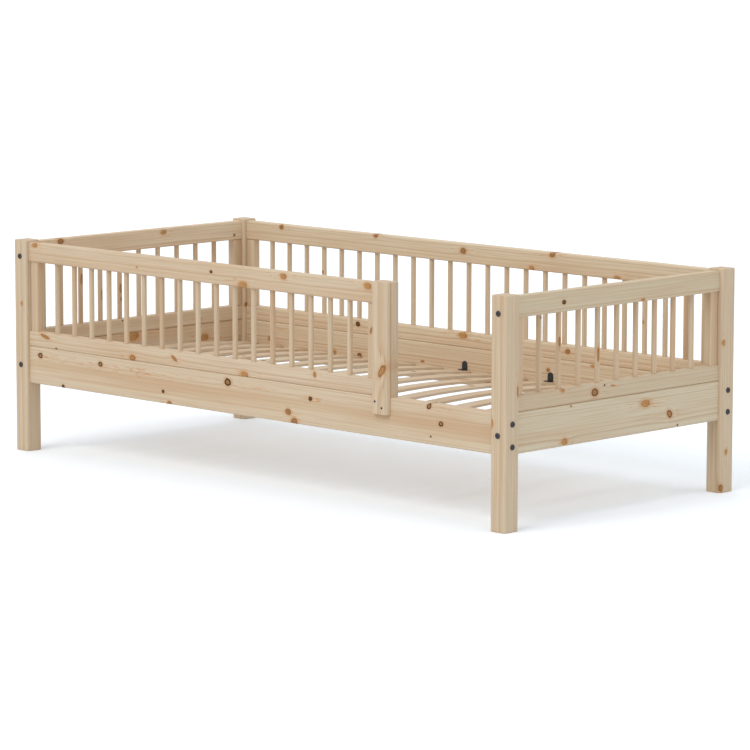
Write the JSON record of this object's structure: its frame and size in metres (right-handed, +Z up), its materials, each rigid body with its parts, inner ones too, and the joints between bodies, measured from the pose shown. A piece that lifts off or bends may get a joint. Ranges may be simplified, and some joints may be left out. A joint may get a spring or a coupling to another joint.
{
  "type": "toddler floor bed",
  "caption": "Low solid pine bed for a toddler: square corner posts, spindle guards round three sides, a half guard with a lapped upright in front and bowed slats.",
  "frame": {"origin": "on the floor, under the middle of the bed's outer box", "axes": "+X along the bed from the head end to the foot end, +Y from the open front with the half guard to the back guard, +Z up"},
  "size_m": [2.106, 1.009, 0.668],
  "materials": {
    "post_pine": "planed and sanded solid pine, unfinished or clear matt, with knots",
    "board_pine": "planed and sanded edge-glued pine board, clear matt, with knots",
    "rail_pine": "planed and sanded solid pine, clear matt, with knots",
    "spindle_pine": "turned pine dowel, sanded, clear matt",
    "slat_pine": "bent slat, planed, no finish",
    "peg_beech": "plain beech peg",
    "black_steel": "black oxide, semi-matt",
    "zinc_steel": "bright zinc plate",
    "webbing": "woven polyester webbing, off-white"
  },
  "bodies": {
    "root": {"back_guard_bottom_rail": "rail_pine", "back_guard_spindles": "spindle_pine", "back_guard_stile_foot": "rail_pine", "back_guard_stile_head": "rail_pine", "back_guard_top_rail": "rail_pine", "barrel_nuts": "zinc_steel", "bracket_screws": "black_steel", "connector_bolts": "black_steel", "end_board_foot": "board_pine", "end_board_head": "board_pine", "foot_guard_bottom_rail": "rail_pine", "foot_guard_spindles": "spindle_pine", "foot_guard_stile_back": "rail_pine", "foot_guard_stile_front": "rail_pine", "foot_guard_top_rail": "rail_pine", "half_guard_bottom_rail": "rail_pine", "half_guard_spindles": "spindle_pine", "half_guard_stile_foot": "rail_pine", "half_guard_stile_head": "rail_pine", "half_guard_top_rail": "rail_pine", "head_guard_bottom_rail": "rail_pine", "head_guard_spindles": "spindle_pine", "head_guard_stile_back": "rail_pine", "head_guard_stile_front": "rail_pine", "head_guard_top_rail": "rail_pine", "ledge_screws": "zinc_steel", "locating_pegs": "peg_beech", "post_back_foot": "post_pine", "post_back_head": "post_pine", "post_front_foot": "post_pine", "post_front_head": "post_pine", "side_board_back": "board_pine", "side_board_front": "board_pine", "slat_01": "slat_pine", "slat_02": "slat_pine", "slat_03": "slat_pine", "slat_04": "slat_pine", "slat_05": "slat_pine", "slat_06": "slat_pine", "slat_07": "slat_pine", "slat_08": "slat_pine", "slat_09": "slat_pine", "slat_10": "slat_pine", "slat_11": "slat_pine", "slat_12": "slat_pine", "slat_13": "slat_pine", "slat_14": "slat_pine", "slat_15": "slat_pine", "slat_16": "slat_pine", "slat_17": "slat_pine", "slat_brackets": "black_steel", "slat_ledge_back": "rail_pine", "slat_ledge_front": "rail_pine", "slat_strap_back": "webbing", "slat_strap_front": "webbing", "upright": "post_pine", "upright_screws": "black_steel"}
  },
  "joints": []
}
